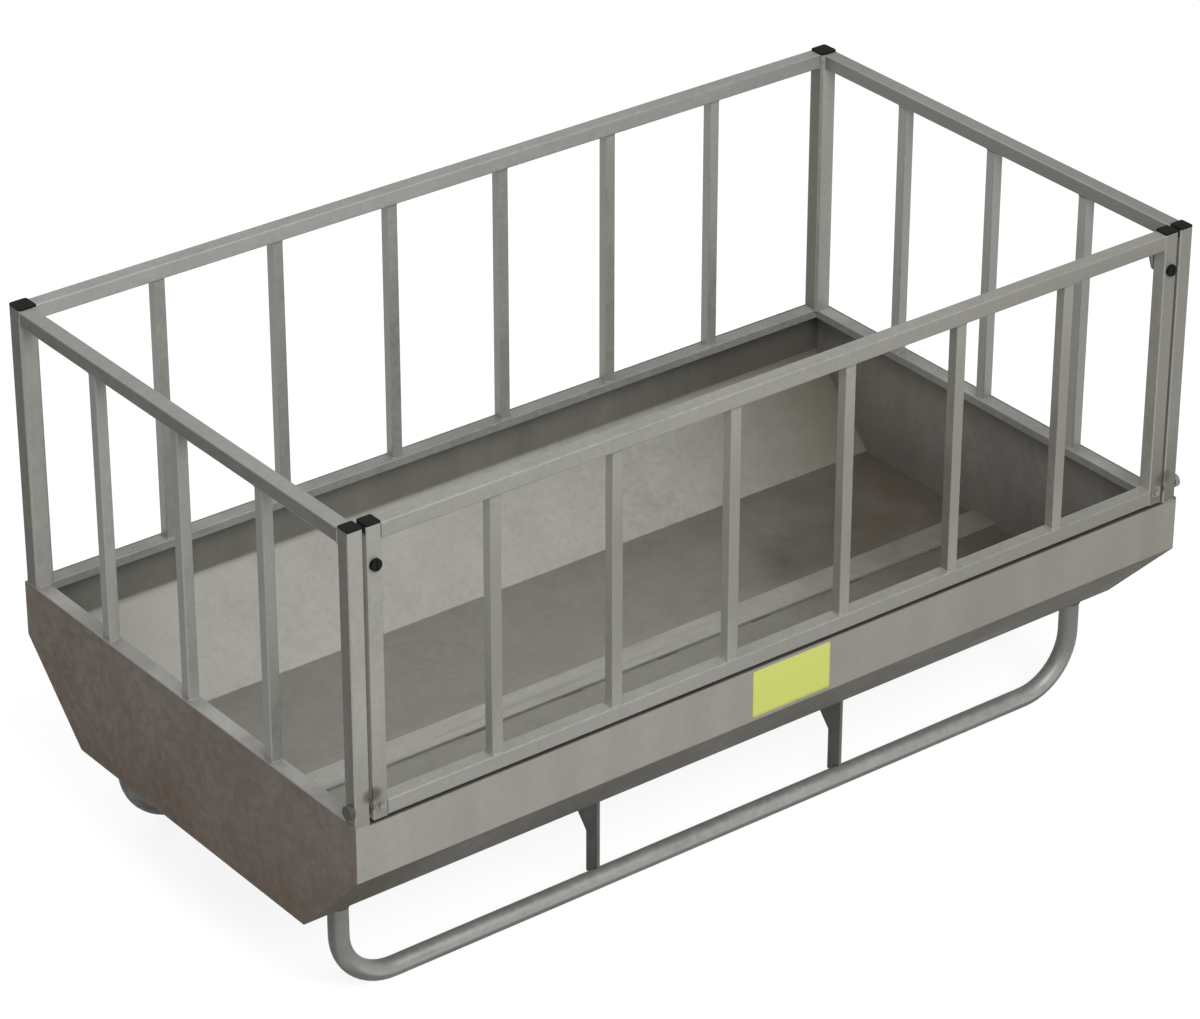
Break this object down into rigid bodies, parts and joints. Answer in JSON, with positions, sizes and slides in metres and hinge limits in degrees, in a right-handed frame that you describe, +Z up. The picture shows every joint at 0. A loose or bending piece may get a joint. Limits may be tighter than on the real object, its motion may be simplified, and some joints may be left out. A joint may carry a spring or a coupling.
{
  "type": "livestock feed bin",
  "caption": "Galvanised steel feed bin: a folded trough on tube skids, with a barred cage on its rim and a front gate that drops forward on pivots and locks with turning latches.",
  "frame": {"origin": "on the ground under the middle of the trough, midway between the skids and the two ends", "axes": "+X along the bin to the right as seen from the gate, -Y towards the gate, +Z up"},
  "size_m": [2.523, 1.397, 1.384],
  "materials": {
    "galvanised_sheet": "hot-dip galvanised, dull",
    "galvanised_tube": "hot-dip galvanised, dull",
    "zinc_fittings": "zinc plated",
    "black_plastic": "moulded, matte",
    "yellow_plate": "plain, satin"
  },
  "bodies": {
    "bin": {"back_bar_1": "galvanised_tube", "back_bar_2": "galvanised_tube", "back_bar_3": "galvanised_tube", "back_bar_4": "galvanised_tube", "back_bar_5": "galvanised_tube", "back_bar_6": "galvanised_tube", "end_plate_left": "galvanised_sheet", "end_plate_right": "galvanised_sheet", "floor_joint_strip": "galvanised_sheet", "front_plate": "yellow_plate", "gate_stops": "galvanised_sheet", "left_bar_1": "galvanised_tube", "left_bar_2": "galvanised_tube", "left_bar_3": "galvanised_tube", "post_back_left": "galvanised_tube", "post_back_right": "galvanised_tube", "post_caps": "black_plastic", "post_front_left": "galvanised_tube", "post_front_right": "galvanised_tube", "right_bar_1": "galvanised_tube", "right_bar_2": "galvanised_tube", "right_bar_3": "galvanised_tube", "rim_rail_back": "galvanised_tube", "rim_rail_front": "galvanised_tube", "rim_rail_left": "galvanised_tube", "rim_rail_right": "galvanised_tube", "skid_back": "galvanised_tube", "skid_brackets": "galvanised_sheet", "skid_front": "galvanised_tube", "top_rail_back": "galvanised_tube", "top_rail_left": "galvanised_tube", "top_rail_right": "galvanised_tube", "trough_shell_back": "galvanised_sheet", "trough_shell_front": "galvanised_sheet"},
    "gate": {"gate_bar_1": "galvanised_tube", "gate_bar_2": "galvanised_tube", "gate_bar_3": "galvanised_tube", "gate_bar_4": "galvanised_tube", "gate_bar_5": "galvanised_tube", "gate_bar_6": "galvanised_tube", "gate_bottom_rail": "galvanised_tube", "gate_caps": "black_plastic", "gate_stile_left": "galvanised_tube", "gate_stile_right": "galvanised_tube", "gate_top_rail": "galvanised_tube", "pivot_cross_bolts": "zinc_fittings", "pivot_cross_nuts": "zinc_fittings", "pivot_cross_washers": "zinc_fittings", "pivot_pin_left": "zinc_fittings", "pivot_pin_right": "zinc_fittings", "pivot_spacers": "zinc_fittings"},
    "latch_left": {"latch_knob_left": "black_plastic", "latch_stud_left": "zinc_fittings", "latch_arm_left": "zinc_fittings"},
    "latch_right": {"latch_knob_right": "black_plastic", "latch_stud_right": "zinc_fittings", "latch_arm_right": "zinc_fittings"}
  },
  "joints": [
    {"name": "gate_drop", "type": "hinge", "parent": "bin", "child": "gate", "pos_m": [0, -0.6775, 0.67], "axis": [1, 0, 0], "range_deg": [0, 135]},
    {"name": "latch_turn_left", "type": "hinge", "parent": "gate", "child": "latch_left", "pos_m": [-1.178, -0.6925, 1.283], "axis": [0, -1, 0], "range_deg": [0, 90]},
    {"name": "latch_turn_right", "type": "hinge", "parent": "gate", "child": "latch_right", "pos_m": [1.178, -0.6925, 1.283], "axis": [0, 1, 0], "range_deg": [0, 90]}
  ]
}
